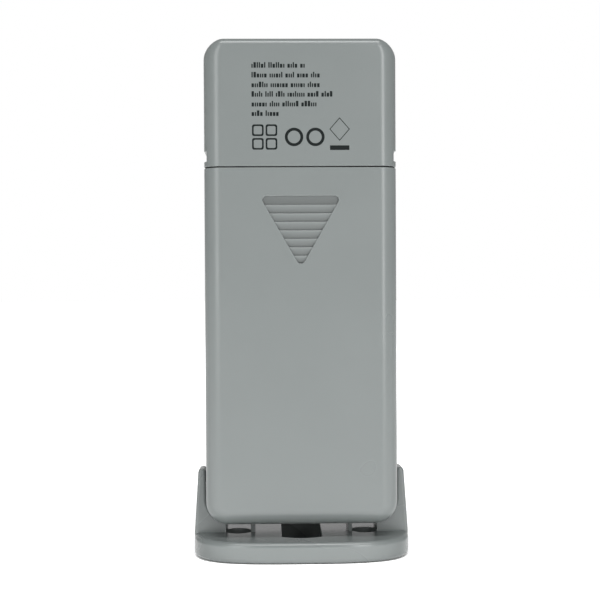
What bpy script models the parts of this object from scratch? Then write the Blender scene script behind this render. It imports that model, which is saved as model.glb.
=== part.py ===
"""Wireless outdoor temperature and humidity transmitter in its snap-in cradle stand.

The device stands upright on a table. +Z is up, -Y is its back (battery side), +Y its front
(sensor side), and X runs across it. The origin is on the table, under the middle of the stand.
Every size below is in millimetres; meshes are turned into metres when they are made.
"""

import math

import bmesh
import bpy
from mathutils import Vector

MM = 0.001

# How deep one solid is sunk into another before they are joined, and how far a cutter runs past a face
SUNK = 0.4
PAST = 1.0

# Transmitter case
CASE_HALF_WIDTH = 20.0
CASE_BOTTOM = 6.8
CASE_TOP = 107.8
CASE_HALF_DEPTH = 11.0
CASE_WALL = 1.6
LEAST_RADIUS = 0.5
TOP_CORNER = 4.2
BOTTOM_CORNER = 4.7
REAR_FILLETS = {"side": 3.5, "top": 1.7, "bottom": 3.8}
FRONT_FILLETS = {"side": 3.5, "top": 3.2, "bottom": 3.8}
PARTING_Y = -4.0
FIT = 0.3
SEAM_Z = 81.2
SEAM_GAP = 0.25
WORK_X = (-30.0, 30.0)
WORK_Y = (-30.0, 30.0)

# Grooves in the sides of the case
WALL_CLIP_Z = (82.45, 84.55)
WALL_CLIP_Y = (-9.7, 1.5)
NUB_GROOVE_TOP = 17.5
GROOVE_DEPTH = 0.6
NUB_GROOVE_HALF = 1.05

# Battery well and deck, inside
DECK_Y = (-3.6, -2.4)
DECK_RIM_Y = -5.2
DECK_RIM_WIDTH = 1.0
DECK_INSET = CASE_WALL + FIT
PARTITION_Z = (83.0, 84.2)
WELL_HALF_WIDTH = 15.4
WELL_Z = (15.6, 71.4)
WELL_FLOOR_Y = 6.0
WELL_WALL = 1.2
LIP_INSET = 3.1
LIP_LENGTH = 2.5
DECK_STOP = DECK_Y[1] + 0.2
TAIL_SLOT_Y = (3.7, 4.7)
TAIL_SLOT_HALF = 1.8

# AA cells
CELL_RADIUS = 7.25
CELL_LENGTH = 50.5
CELL_NUB = (2.75, 1.0)
CELL_X = 7.6
CELL_Y = -1.55
PLATE = 0.4
PLATE_GAP = 0.1
SPRING_HEIGHT = 3.6
SPRING_WIRE = 0.3

# Battery cover
COVER_HOOK_Z = (30.0, 58.0)
HOOK_X = (16.9, 18.0)
HOOK_LENGTH = 2.0
HOOK_REACH = 1.5
COVER_STROKE = 1.8
HOOK_FOOT_Y = -8.5
HOOK_ROOT_X = 19.0
HOOK_ROOT_Y = -8.2
TONGUE_HALF_WIDTH = 9.0
TONGUE_THICK = 1.2
GRIP_TOP_Z = 75.1
GRIP_HEIGHT = 14.0
GRIP_HALF_WIDTH = 7.9
GRIP_CORNER = 0.95
GRIP_BANDS = 8
GRIP_SHALLOW = 0.2
GRIP_DEEP = 0.65

# Circuit board and what it carries
BOARD_Y = (2.0, 3.6)
BOARD_Z = (73.4, 104.6)
BOARD_SHOULDER_Z = 82.5
BOARD_HALF_WIDTHS = (10.8, 16.8)
SOLDER_GAP = 0.15
SWITCH_Z = 78.0
TX_X = -6.0
TX_TRAVEL = 0.5
CHANNEL_X = 5.0
CHANNEL_STEP = 2.0
LIGHT_Z = 100.0
BOARD_SCREWS = [(-12.0, 99.0), (12.0, 99.0)]
CASE_SCREWS = [(-13.8, 78.0), (13.8, 78.0), (-10.0, 12.0), (10.0, 12.0)]
SCREW_SHANK = 0.95
SCREW_HOLE = 1.3
BOSS_RADIUS = 2.2
TX_HOLE = 2.2
TX_SWITCH_HALF = 3.0
TX_BORE = 2.05
TX_PLUNGER = 1.7
KNOB_HALF = (1.0, 0.9)
SWITCH_TALL = 3.5
PLUNGER_REACH = 7.0
KNOB_REACH = 6.8
LIGHT_HOLE = 1.7
COIL_TURNS = 7
COIL_RADIUS = 2.4
COIL_LENGTH = 14.0
COIL_CENTRE = (-4.0, 101.0)
COIL_WIRE = 0.35

# Vent slots in the front
VENT_COUNT = 5
VENT_PITCH = 2.6
VENT_BOTTOM_Z = 82.0
VENT_HALF_LENGTH = 7.0
VENT_HALF_HEIGHT = 0.6

# Stand
BASE_HALF_X = 22.8
BASE_HALF_Y = 15.3
BASE_POWER = 3.35
BASE_TOP = 4.3
BASE_TOP_FILLET = 1.0
BASE_FOOT_FILLET = 0.9
BASE_WALL = 1.7
BASE_FLOOR = 1.8
ARM_HALF_DEPTH = 3.5
ARM_INNER = 20.45
ARM_TOP = 17.7
ARM_OUTER = (22.75, 22.0)
ARM_CORNER = 1.0
CRADLE_GAP = 0.35
GUSSET_INNER = 15.85
GUSSET_ROOT = 1.0
RIB_X = (9.9, 10.8)
FIXING_X = 13.5
FIXING_Y = -2.0
FIXING_RADIUS = 2.75
SLOT_HALF_WIDTH = 4.25
SLOT_CORNER_Y = 8.4
SLOT_END_Y = 9.9
HOLE_WALL = 1.5
SLOT_WALL = 1.2
WEB_HALF_DEPTH = 3.0
NUB_Z = 16.0
NUB_REACH = 0.8
NUB_HALF_DEPTH = 0.7

CORNER_STEPS = 5


# ---- meshes -------------------------------------------------------------------------------

def loft(rings, capped=True):
    """A skin over rings of points, closed by flat ends, or joined round into itself."""
    mesh = bmesh.new()
    rows = [[mesh.verts.new(point) for point in ring] for ring in rings]
    pairs = list(zip(rows, rows[1:]))
    if capped:
        mesh.faces.new(rows[0])
        mesh.faces.new(rows[-1])
    else:
        pairs.append((rows[-1], rows[0]))
    for first, second in pairs:
        for i in range(len(first)):
            j = (i + 1) % len(first)
            mesh.faces.new((first[i], first[j], second[j], second[i]))
    bmesh.ops.recalc_face_normals(mesh, faces=mesh.faces)
    return mesh


def placed(pair, axis, along):
    """A point from a flat outline's pair and its place along the axis that the outline leaves out."""
    point = list(pair)
    point.insert("XYZ".index(axis), along)
    return point


def prism(outline, axis, start, end):
    return loft([[placed(pair, axis, along) for pair in outline] for along in (start, end)])


def box(x, y, z):
    return prism([(x[0], y[0]), (x[1], y[0]), (x[1], y[1]), (x[0], y[1])], "Z", *z)


def circle(centre, radius, steps=16):
    return [(centre[0] + radius * math.cos(math.tau * i / steps),
             centre[1] + radius * math.sin(math.tau * i / steps)) for i in range(steps)]


def turned(profile, centre, axis="Y", steps=16):
    """A solid of revolution: profile pairs are (place along the axis, radius)."""
    return loft([[placed(pair, axis, along) for pair in circle(centre, radius, steps)]
                 for along, radius in profile])


def arc(centre, radius, start, end, steps):
    """Points on an arc, with angles in degrees from the first axis towards the second."""
    angles = [math.radians(start + (end - start) * i / steps) for i in range(steps + 1)]
    return [(centre[0] + radius * math.cos(a), centre[1] + radius * math.sin(a)) for a in angles]


def stadium(centre, half_length, half_height, steps=6):
    """A slot outline with round ends, long in the first coordinate."""
    x, z = centre
    run = half_length - half_height
    return (arc((x + run, z), half_height, -90, 90, steps)
            + arc((x - run, z), half_height, 90, 270, steps))


def rolled(depth, width):
    """How far a quarter-round edge of this width has stepped back at this depth from the face."""
    if depth >= width:
        return 0.0
    return width * (1 - math.sqrt(1 - (1 - depth / width) ** 2))


def case_ring(y, depth, wall, fillets):
    """The case's outline at one place along Y, depth behind its end face and wall inside its skin."""
    least = LEAST_RADIUS + 0.1
    side, top, bottom = (rolled(depth, max(width - wall, least)) for width in fillets.values())
    half = CASE_HALF_WIDTH - wall - side
    low = CASE_BOTTOM + wall + bottom
    high = CASE_TOP - wall - top
    points = []
    for sign_x, sign_z, radius, shrink, start in (
        (1, 1, TOP_CORNER, top, 0), (-1, 1, TOP_CORNER, top, 90),
        (-1, -1, BOTTOM_CORNER, bottom, 180), (1, -1, BOTTOM_CORNER, bottom, 270),
    ):
        across = max(radius - wall - side, LEAST_RADIUS)
        upright = max(radius - wall - shrink, LEAST_RADIUS)
        corner_x = sign_x * (half - across)
        corner_z = (high - upright) if sign_z > 0 else (low + upright)
        for a, b in arc((0, 0), 1, start, start + 90, CORNER_STEPS):
            points.append((corner_x + across * a, y, corner_z + upright * b))
    return points


def end_depths(width):
    """Depths at which a rounded end is sampled, from its face to where its side is straight."""
    return [width * (1 - math.cos(math.radians(angle))) for angle in (0, 22, 42, 65, 90)]


def case_shell(end_y, rim_y, fillets):
    """One half of the case: a rounded tray, open at rim_y, with an even wall."""
    inward = 1 if rim_y > end_y else -1
    widest = max(fillets.values())
    outer = [(end_y + inward * d, d) for d in end_depths(widest)]
    outer.append((rim_y, abs(rim_y - end_y)))
    inner_end = end_y + inward * CASE_WALL
    inner = [(inner_end + inward * d, d) for d in end_depths(widest - CASE_WALL)]
    inner.append((rim_y, abs(rim_y - inner_end)))
    rings = [case_ring(y, depth, 0, fillets) for y, depth in outer]
    rings += [case_ring(y, depth, CASE_WALL, fillets) for y, depth in reversed(inner)]
    return loft(rings)


def deck_plate():
    """A flat plate with the case's own outline, set in from its skin, with a rim along its rear edge."""
    edge = DECK_INSET + 0.1
    steps = [(DECK_Y[1], edge), (DECK_RIM_Y, edge), (DECK_RIM_Y, edge + DECK_RIM_WIDTH),
             (DECK_Y[0], edge + DECK_RIM_WIDTH)]
    return loft([case_ring(y, CASE_HALF_DEPTH, inset, REAR_FILLETS) for y, inset in steps])


def locating_lip():
    """A ring inside the rear case that steps into the front case and lines the two up."""
    deep = CASE_HALF_DEPTH
    root, tip = PARTING_Y - LIP_LENGTH, DECK_Y[1] + SUNK
    step = PARTING_Y - 0.1
    corners = [(root, CASE_WALL - 0.5), (step, CASE_WALL - 0.5), (step, DECK_INSET), (tip, DECK_INSET),
               (tip, LIP_INSET), (root, LIP_INSET)]
    return loft([case_ring(y, deep, inset, REAR_FILLETS) for y, inset in corners], capped=False)


def grip_outline():
    """The thumb grip's outline: a triangle that points down, with rounded corners."""
    tip_z = GRIP_TOP_Z - GRIP_HEIGHT
    corners = [Vector((GRIP_HALF_WIDTH, GRIP_TOP_Z)), Vector((-GRIP_HALF_WIDTH, GRIP_TOP_Z)),
               Vector((0, tip_z))]
    points = []
    for i, corner in enumerate(corners):
        into = (corners[i - 1] - corner).normalized()
        out = (corners[(i + 1) % 3] - corner).normalized()
        half_angle = into.angle(out) / 2
        centre = corner + (into + out).normalized() * GRIP_CORNER / math.sin(half_angle)
        start = corner + into * GRIP_CORNER / math.tan(half_angle) - centre
        end = corner + out * GRIP_CORNER / math.tan(half_angle) - centre
        first = math.degrees(math.atan2(start.y, start.x))
        sweep = (math.degrees(math.atan2(end.y, end.x)) - first + 180) % 360 - 180
        points += arc(centre, GRIP_CORNER, first, first + sweep, 4)
    return points


def grip_teeth():
    """The saw-toothed floor of the grip, as a profile in Y and Z that is drawn out along X."""
    rear = -CASE_HALF_DEPTH
    pitch = GRIP_HEIGHT / GRIP_BANDS
    profile = [(rear - PAST, GRIP_TOP_Z + PAST), (rear + GRIP_SHALLOW, GRIP_TOP_Z + PAST)]
    for band in range(GRIP_BANDS):
        top = GRIP_TOP_Z - band * pitch
        profile += [(rear + GRIP_SHALLOW, top), (rear + GRIP_DEEP, top - pitch)]
    profile.append((rear - PAST, GRIP_TOP_Z - GRIP_HEIGHT))
    return prism(profile, "X", -GRIP_HALF_WIDTH - PAST, GRIP_HALF_WIDTH + PAST)


def oval(z, inset, steps=56):
    """The base's outline: a squared-off oval, set in by this much."""
    a, b = BASE_HALF_X - inset, BASE_HALF_Y - inset
    points = []
    for i in range(steps):
        angle = math.tau * (i + 0.5) / steps
        c, s = math.cos(angle), math.sin(angle)
        points.append((math.copysign(a * abs(c) ** (2 / BASE_POWER), c),
                       math.copysign(b * abs(s) ** (2 / BASE_POWER), s), z))
    return points


def base_slab():
    rings = []
    for angle in (0, 30, 60, 90):
        low = math.radians(angle)
        rings.append(oval(BASE_FOOT_FILLET * (1 - math.cos(low)), BASE_FOOT_FILLET * (1 - math.sin(low))))
    for angle in (90, 60, 30, 0):
        high = math.radians(angle)
        rings.append(oval(BASE_TOP - BASE_TOP_FILLET * (1 - math.cos(high)),
                          BASE_TOP_FILLET * (1 - math.sin(high))))
    return loft(rings)


def arm_outline(side):
    """One arm and its gusset in X and Z, which follow the case's side and bottom corner."""
    centre = (CASE_HALF_WIDTH - BOTTOM_CORNER, CASE_BOTTOM + BOTTOM_CORNER)
    radius = BOTTOM_CORNER + CRADLE_GAP
    first = math.degrees(math.asin((GUSSET_INNER - centre[0]) / radius)) - 90
    root = BASE_TOP - GUSSET_ROOT
    points = [(GUSSET_INNER, root)]
    points += arc(centre, radius, first, 0, 7)
    points += [(ARM_INNER, ARM_TOP - 1.5), (ARM_INNER + 0.3, ARM_TOP)]
    points += arc((ARM_OUTER[1] - ARM_CORNER, ARM_TOP - ARM_CORNER), ARM_CORNER, 90, 0, 3)
    points.append((ARM_OUTER[0], BASE_TOP - 0.5))
    points.append((ARM_OUTER[0] - GUSSET_ROOT, root))
    return [(side * x, z) for x, z in points]


def slot_outline(reach):
    """The base's middle slot in plan, with bowed ends, grown by reach on every side."""
    half, corner, end = SLOT_HALF_WIDTH + reach, SLOT_CORNER_Y + reach, SLOT_END_Y + reach
    rise = end - corner
    radius = (half ** 2 + rise ** 2) / (2 * rise)
    sweep = math.degrees(math.asin(half / radius))
    return (arc((0, end - radius), radius, 90 - sweep, 90 + sweep, 6)
            + arc((0, radius - end), radius, 270 - sweep, 270 + sweep, 6))


# ---- objects ------------------------------------------------------------------------------

def clear_scene():
    for obj in list(bpy.data.objects):
        bpy.data.objects.remove(obj, do_unlink=True)


def material(name, colour, roughness, metallic=0.0):
    made = bpy.data.materials.new(name)
    made.use_nodes = True
    shader = made.node_tree.nodes["Principled BSDF"]
    shader.inputs["Base Color"].default_value = (*colour, 1)
    shader.inputs["Roughness"].default_value = roughness
    shader.inputs["Metallic"].default_value = metallic
    return made


def place(name, mesh, origin=(0, 0, 0), finish=None, parent=None):
    """Turns a mesh in millimetres into an object in metres, with its origin where it is asked for."""
    bmesh.ops.translate(mesh, vec=-Vector(origin), verts=mesh.verts)
    bmesh.ops.scale(mesh, vec=Vector((MM, MM, MM)), verts=mesh.verts)
    data = bpy.data.meshes.new(name)
    mesh.to_mesh(data)
    mesh.free()
    data.shade_smooth()
    data.set_sharp_from_angle(angle=math.radians(32))
    obj = bpy.data.objects.new(name, data)
    bpy.context.scene.collection.objects.link(obj)
    obj.location = Vector(origin) * MM
    if finish:
        data.materials.append(finish)
    if parent:
        obj.parent = parent
        obj.location -= parent.location
    return obj


def hidden(obj):
    """Marks an object as a cutter or a building block, which isn't a piece itself."""
    obj.hide_render = True
    obj.display_type = "WIRE"
    return obj


def combine(obj, operation, shapes):
    """Adds shapes to an object, takes them away from it, or keeps only what lies inside them."""
    for shape in shapes:
        name = f"{obj.name}_step_{len(obj.modifiers)}"
        helper = shape if isinstance(shape, bpy.types.Object) else place(name, shape)
        step = obj.modifiers.new(name, "BOOLEAN")
        step.operation = operation
        step.object = hidden(helper)
    return obj


def wire(name, points, radius, finish, parent):
    """A round wire through a list of points."""
    curve = bpy.data.curves.new(name, "CURVE")
    curve.dimensions = "3D"
    curve.bevel_depth = radius * MM
    curve.bevel_resolution = 1
    curve.use_fill_caps = True
    spline = curve.splines.new("POLY")
    spline.points.add(len(points) - 1)
    for target, point in zip(spline.points, points):
        target.co = (*(Vector(point) * MM), 1)
    curve.materials.append(finish)
    obj = bpy.data.objects.new(name, curve)
    bpy.context.scene.collection.objects.link(obj)
    obj.parent = parent
    obj.location = -parent.location
    return obj


# ---- case ---------------------------------------------------------------------------------

def side_grooves():
    """Cutters for the wall clip grooves and the stand nub grooves, on both sides."""
    cutters = []
    for side in (-1, 1):
        x = sorted((side * (CASE_HALF_WIDTH - GROOVE_DEPTH), side * (CASE_HALF_WIDTH + 2 * PAST)))
        cutters.append(box(x, WALL_CLIP_Y, WALL_CLIP_Z))
        cutters.append(box(x, (-NUB_GROOVE_HALF, NUB_GROOVE_HALF), (CASE_BOTTOM - PAST, NUB_GROOVE_TOP)))
    return cutters


def build_front_case(finish, parent):
    rim = PARTING_Y + FIT
    case = place("front_case", case_shell(CASE_HALF_DEPTH, rim, FRONT_FILLETS), (0, 0, 0), finish, parent)
    face = CASE_HALF_DEPTH - CASE_WALL
    boss = (DECK_STOP, face + SUNK)
    combine(case, "UNION", [prism(circle(at, BOSS_RADIUS), "Y", *boss) for at in CASE_SCREWS])
    cutters = side_grooves()
    pilot = (DECK_STOP - PAST, face - 2 * PAST)
    cutters += [prism(circle(at, SCREW_HOLE, 12), "Y", *pilot) for at in CASE_SCREWS]
    cutters.append(prism(circle((0, LIGHT_Z), LIGHT_HOLE), "Y", face - PAST, CASE_HALF_DEPTH + PAST))
    for row in range(VENT_COUNT):
        z = VENT_BOTTOM_Z + row * VENT_PITCH
        cutters.append(prism(stadium((0, z), VENT_HALF_LENGTH, VENT_HALF_HEIGHT), "Y",
                             face - PAST, CASE_HALF_DEPTH + PAST))
    return combine(case, "DIFFERENCE", cutters)


def battery_well(inner):
    """The block that the cells lie in: its outside, or the space inside it."""
    grow = 0 if inner else WELL_WALL
    rear = DECK_Y[0] - 5 * PAST if inner else DECK_Y[0] + SUNK
    half = WELL_HALF_WIDTH + grow
    return box((-half, half), (rear, WELL_FLOOR_Y + grow), (WELL_Z[0] - grow, WELL_Z[1] + grow))


def partition_outline():
    """The wall between the battery side and the electronics, in plan: wide behind the parting line."""
    half = CASE_HALF_WIDTH - CASE_WALL
    behind = PARTING_Y - SUNK / 2
    right = [(half + SUNK, -CASE_HALF_DEPTH + CASE_WALL - SUNK), (half + SUNK, behind),
             (half - 2 * FIT, behind), (half - 2 * FIT, DECK_Y[1] - SUNK)]
    return right + [(-x, y) for x, y in reversed(right)]


def hook_notches():
    """Openings in the deck's edge that the cover's hooks pass through before they slide under it."""
    notches = []
    for side in (-1, 1):
        x = sorted((side * (HOOK_X[0] - FIT), side * (HOOK_X[1] + FIT)))
        for z in COVER_HOOK_Z:
            low = z - COVER_STROKE - FIT
            notches.append(box(x, (DECK_RIM_Y - PAST, DECK_Y[1] + PAST), (low, z + HOOK_LENGTH + FIT)))
    return notches


def build_rear_case(finish, parent):
    shell = case_shell(-CASE_HALF_DEPTH, PARTING_Y, REAR_FILLETS)
    case = place("rear_case", shell, (0, 0, 0), finish, parent)
    combine(case, "INTERSECT", [box(WORK_X, WORK_Y, (SEAM_Z + SEAM_GAP / 2, CASE_TOP + PAST))])
    lip = place("rear_case_lip", locating_lip())
    combine(lip, "INTERSECT", [box(WORK_X, WORK_Y, (PARTITION_Z[0] + SUNK, CASE_TOP + PAST))])
    deck = place("rear_case_deck", deck_plate())
    combine(deck, "INTERSECT", [box(WORK_X, WORK_Y, (0, PARTITION_Z[1] - SUNK))])
    partition = prism(partition_outline(), "Z", *PARTITION_Z)
    combine(case, "UNION", [lip, partition, deck, battery_well(inner=False)])
    boss = (-CASE_HALF_DEPTH + CASE_WALL - SUNK, BOARD_Y[0] - SOLDER_GAP)
    combine(case, "UNION", [prism(circle(at, BOSS_RADIUS), "Y", *boss) for at in BOARD_SCREWS])
    through = (DECK_Y[0] - PAST, DECK_Y[1] + PAST)
    pilot = (BOARD_Y[0] - 9 * PAST, BOARD_Y[0] + PAST)
    cutters = side_grooves()[::2] + [battery_well(inner=True)] + hook_notches()
    cutters += [prism(circle(at, SCREW_HOLE, 12), "Y", *pilot) for at in BOARD_SCREWS]
    cutters += [prism(circle(at, SCREW_HOLE, 12), "Y", *through) for at in CASE_SCREWS]
    cutters.append(prism(circle((TX_X, SWITCH_Z), TX_HOLE), "Y", *through))
    cutters.append(prism(stadium((CHANNEL_X, SWITCH_Z), CHANNEL_STEP + 1.6, 1.4), "Y", *through))
    for x in (-CELL_X, CELL_X):
        cutters.append(box((x - TAIL_SLOT_HALF, x + TAIL_SLOT_HALF), TAIL_SLOT_Y,
                           (WELL_Z[1] - PAST, WELL_Z[1] + 2 * PAST)))
    return combine(case, "DIFFERENCE", cutters)


def cover_tongue():
    """The tongue at the cover's top edge, which slips in behind the rear case."""
    inner_face = -CASE_HALF_DEPTH + CASE_WALL
    top = SEAM_Z - SEAM_GAP / 2
    sunk, near, far = inner_face - 0.5, inner_face + FIT, inner_face + FIT + TONGUE_THICK
    outline = [(sunk, top - 4), (sunk, top - 1), (near, top - 1), (near, top + HOOK_REACH),
               (far, top + HOOK_REACH), (far, top - 4)]
    return prism(outline, "X", -TONGUE_HALF_WIDTH, TONGUE_HALF_WIDTH)


def cover_hook(side, z):
    """A hook that reaches through the deck and up behind it."""
    behind = DECK_Y[1] + FIT
    tip, neck = z + HOOK_LENGTH + HOOK_REACH, z + HOOK_LENGTH
    outline = [(HOOK_FOOT_Y, z), (behind + 1, z), (behind + 1, tip), (behind, tip), (behind, neck),
               (HOOK_FOOT_Y, neck)]
    return prism(outline, "X", *sorted(side * x for x in HOOK_X))


def hook_root(side, z):
    """The block that ties a hook to the cover's side wall."""
    x = sorted((side * (HOOK_X[0] + FIT), side * HOOK_ROOT_X))
    return box(x, (HOOK_ROOT_Y, PARTING_Y - FIT), (z + FIT, z + HOOK_LENGTH - FIT))


def build_battery_cover(finish, parent):
    origin = (0, -CASE_HALF_DEPTH, GRIP_TOP_Z)
    shell = case_shell(-CASE_HALF_DEPTH, PARTING_Y, REAR_FILLETS)
    cover = place("battery_cover", shell, origin, finish, parent)
    combine(cover, "INTERSECT", [box(WORK_X, WORK_Y, (0, SEAM_Z - SEAM_GAP / 2))])
    added = [cover_tongue()]
    for side in (-1, 1):
        for z in COVER_HOOK_Z:
            added += [cover_hook(side, z), hook_root(side, z)]
    combine(cover, "UNION", added)
    teeth = place("battery_cover_teeth", grip_teeth())
    mouth = (-CASE_HALF_DEPTH - 2 * PAST, -CASE_HALF_DEPTH + 2 * PAST)
    combine(teeth, "INTERSECT", [prism(grip_outline(), "Y", *mouth)])
    return combine(cover, "DIFFERENCE", [teeth])


# ---- electronics --------------------------------------------------------------------------

def build_circuit_board(finish, parent):
    narrow, wide = BOARD_HALF_WIDTHS
    right = [(narrow, BOARD_Z[0]), (narrow, BOARD_SHOULDER_Z), (wide, BOARD_SHOULDER_Z),
             (wide, BOARD_Z[1] - 2), (wide - 2, BOARD_Z[1])]
    outline = right + [(-x, z) for x, z in reversed(right)]
    board = place("circuit_board", prism(outline, "Y", *BOARD_Y), (0, 0, 0), finish, parent)
    through = (BOARD_Y[0] - PAST, BOARD_Y[1] + PAST)
    holes = [prism(circle(at, SCREW_HOLE, 12), "Y", *through) for at in BOARD_SCREWS]
    return combine(board, "DIFFERENCE", holes)


def build_board_parts(finishes, parent):
    """Small parts on the board: each stands on the front face, given as middle, size and height."""
    front = BOARD_Y[1] + SOLDER_GAP
    for name, finish, (x, z), (width, height), thick in (
        ("humidity_sensor", "white_plastic", (0, 87.2), (3.0, 3.0), 1.2),
        ("controller_chip", "black_plastic", (-9.5, 91.5), (7.0, 7.0), 1.4),
        ("radio_module", "board_green", (9.5, 90.0), (9.0, 10.0), 1.0),
        ("crystal_can", "bright_metal", (-9.5, 84.6), (5.0, 2.0), 1.6),
    ):
        half_x, half_z = width / 2, height / 2
        mesh = box((x - half_x, x + half_x), (front, front + thick), (z - half_z, z + half_z))
        top = [edge for edge in mesh.edges if all(v.co.y > front + thick / 2 for v in edge.verts)]
        bmesh.ops.bevel(mesh, geom=top, offset=0.25, segments=1, affect="EDGES")
        place(name, mesh, (0, 0, 0), finishes[finish], parent)


def build_status_light(finishes, parent):
    front = BOARD_Y[1] + SOLDER_GAP
    dome = [(front, 1.9), (front + 1.0, 1.9), (front + 1.0, 1.5), (front + 2.8, 1.5)]
    dome += [(front + 2.8 + 1.5 * math.sin(a), 1.5 * math.cos(a)) for a in (0.5, 1.0, 1.35)]
    place("status_led", turned(dome, (0, LIGHT_Z)), (0, 0, 0), finishes["red_lens"], parent)
    face = CASE_HALF_DEPTH - CASE_WALL
    guide = [(face - 1.2, 2.2), (face - 0.3, 2.2), (face - 0.3, 1.4), (CASE_HALF_DEPTH - 0.2, 1.4),
             (CASE_HALF_DEPTH - 0.05, 1.0)]
    place("led_lens", turned(guide, (0, LIGHT_Z)), (0, 0, 0), finishes["clear_plastic"], parent)


def build_antenna(finish, parent):
    """A spring antenna behind the board, with its leg turned down to the board's rear face."""
    steps = 14
    centre_y, centre_z = COIL_CENTRE
    points = []
    for i in range(COIL_TURNS * steps + 1):
        angle = math.tau * i / steps
        x = COIL_LENGTH * (i / (COIL_TURNS * steps) - 0.5)
        points.append((x, centre_y + COIL_RADIUS * math.cos(angle), centre_z + COIL_RADIUS * math.sin(angle)))
    end, rim = COIL_LENGTH / 2, centre_y + COIL_RADIUS
    leg = [(end + 0.8, rim + 0.4), (end + 1.0, rim + 1.2), (end + 1.0, BOARD_Y[0] - SOLDER_GAP)]
    points += [(x, y, centre_z) for x, y in leg]
    return wire("antenna_coil", points, COIL_WIRE, finish, parent)


def block(x, y, z, half_x, half_z):
    """A box given by its middle in X and Z."""
    return box((x - half_x, x + half_x), y, (z - half_z, z + half_z))


def build_tx_switch(finishes, parent):
    rear = BOARD_Y[0] - SOLDER_GAP
    mouth = rear - SWITCH_TALL
    shell = block(TX_X, (mouth, rear), SWITCH_Z, TX_SWITCH_HALF, TX_SWITCH_HALF)
    body = place("tx_switch_body", shell, (0, 0, 0), finishes["black_plastic"], parent)
    well = mouth + 1.6
    combine(body, "DIFFERENCE", [prism(circle((TX_X, SWITCH_Z), TX_BORE), "Y", mouth - PAST, well)])
    tip = rear - PLUNGER_REACH
    profile = [(tip, TX_PLUNGER - FIT), (tip + FIT, TX_PLUNGER), (well - TX_TRAVEL - 0.2, TX_PLUNGER)]
    plunger = turned(profile, (TX_X, SWITCH_Z))
    return place("tx_button", plunger, (TX_X, tip, SWITCH_Z), finishes["white_plastic"], parent)


def build_channel_switch(finishes, parent):
    rear = BOARD_Y[0] - SOLDER_GAP
    mouth = rear - SWITCH_TALL
    half_x, half_z = KNOB_HALF
    shell = block(CHANNEL_X, (mouth, rear), SWITCH_Z, 4.6, 2.0)
    body = place("channel_switch_body", shell, (0, 0, 0), finishes["black_plastic"], parent)
    track = block(CHANNEL_X, (mouth - PAST, mouth + 1.3), SWITCH_Z, CHANNEL_STEP + half_x + FIT, half_z + FIT)
    combine(body, "DIFFERENCE", [track])
    end = rear - KNOB_REACH
    knob = block(CHANNEL_X, (end, mouth + 1.0), SWITCH_Z, half_x, half_z)
    tip = [edge for edge in knob.edges if all(v.co.y < end + 0.5 for v in edge.verts)]
    bmesh.ops.bevel(knob, geom=tip, offset=0.2, segments=1, affect="EDGES")
    return place("channel_switch_knob", knob, (CHANNEL_X, end, SWITCH_Z), finishes["white_plastic"], parent)


# ---- cells and contacts -------------------------------------------------------------------

def build_cell(name, x, foot, plus_up, finish, parent):
    """An AA cell from its foot upwards, with its positive nub up or down."""
    nub_radius, nub_height = CELL_NUB
    can = CELL_LENGTH - nub_height
    profile = [(0.0, 6.6), (0.5, CELL_RADIUS), (can - 0.6, CELL_RADIUS), (can, 6.5), (can, nub_radius),
               (CELL_LENGTH - 0.2, nub_radius), (CELL_LENGTH, nub_radius - 0.3)]
    if not plus_up:
        profile = [(CELL_LENGTH - along, radius) for along, radius in reversed(profile)]
    standing = [(foot + along, radius) for along, radius in profile]
    place(name, turned(standing, (x, CELL_Y), "Z", 28), (0, 0, 0), finish, parent)


def build_coil(name, x, plate_z, up, finish, parent):
    """A conical contact spring, wide where it stands on its plate."""
    turns, steps = 3, 12
    wide, narrow = 4.4, 2.6
    rise = SPRING_HEIGHT - 2 * SPRING_WIRE
    points = []
    for i in range(turns * steps + 1):
        t = i / (turns * steps)
        radius = wide + (narrow - wide) * t
        angle = math.tau * i / steps
        z = plate_z + up * (SOLDER_GAP + SPRING_WIRE + rise * t)
        points.append((x + radius * math.cos(angle), CELL_Y + radius * math.sin(angle), z))
    return wire(name, points, SPRING_WIRE, finish, parent)


def build_end_contact(name, x, finish, parent):
    """A contact plate under the well's upper end, with a tail that rises to the circuit board."""
    top = WELL_Z[1] - PLATE_GAP
    tail = (4.0, 4.4)
    flat = box((x - 5, x + 5), (CELL_Y - 4.5, tail[1]), (top - PLATE, top))
    plate = place(name, flat, (0, 0, 0), finish, parent)
    return combine(plate, "UNION", [box((x - 1.5, x + 1.5), tail, (top - PLATE / 2, BOARD_Z[0] + 2.5))])


def build_power(finishes, parent):
    contact = finishes["contact_metal"]
    lower_plate = WELL_Z[0] + PLATE_GAP + PLATE
    upper_plate = WELL_Z[1] - PLATE_GAP - PLATE
    wrap = finishes["cell_wrap"]
    build_cell("battery_cell_left", -CELL_X, upper_plate - FIT - CELL_LENGTH, True, wrap, parent)
    build_cell("battery_cell_right", CELL_X, lower_plate + FIT, False, wrap, parent)
    build_end_contact("positive_contact", -CELL_X, contact, parent)
    build_end_contact("negative_contact", CELL_X, contact, parent)
    build_coil("negative_contact_spring", CELL_X, upper_plate, -1, contact, parent)
    build_coil("bridge_contact_spring", -CELL_X, lower_plate, 1, contact, parent)
    bridge = box((-CELL_X - 5, CELL_X + 5), (CELL_Y - 4, CELL_Y + 4), (lower_plate - PLATE, lower_plate))
    place("bridge_contact", bridge, (0, 0, 0), contact, parent)


# ---- screws -------------------------------------------------------------------------------

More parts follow.
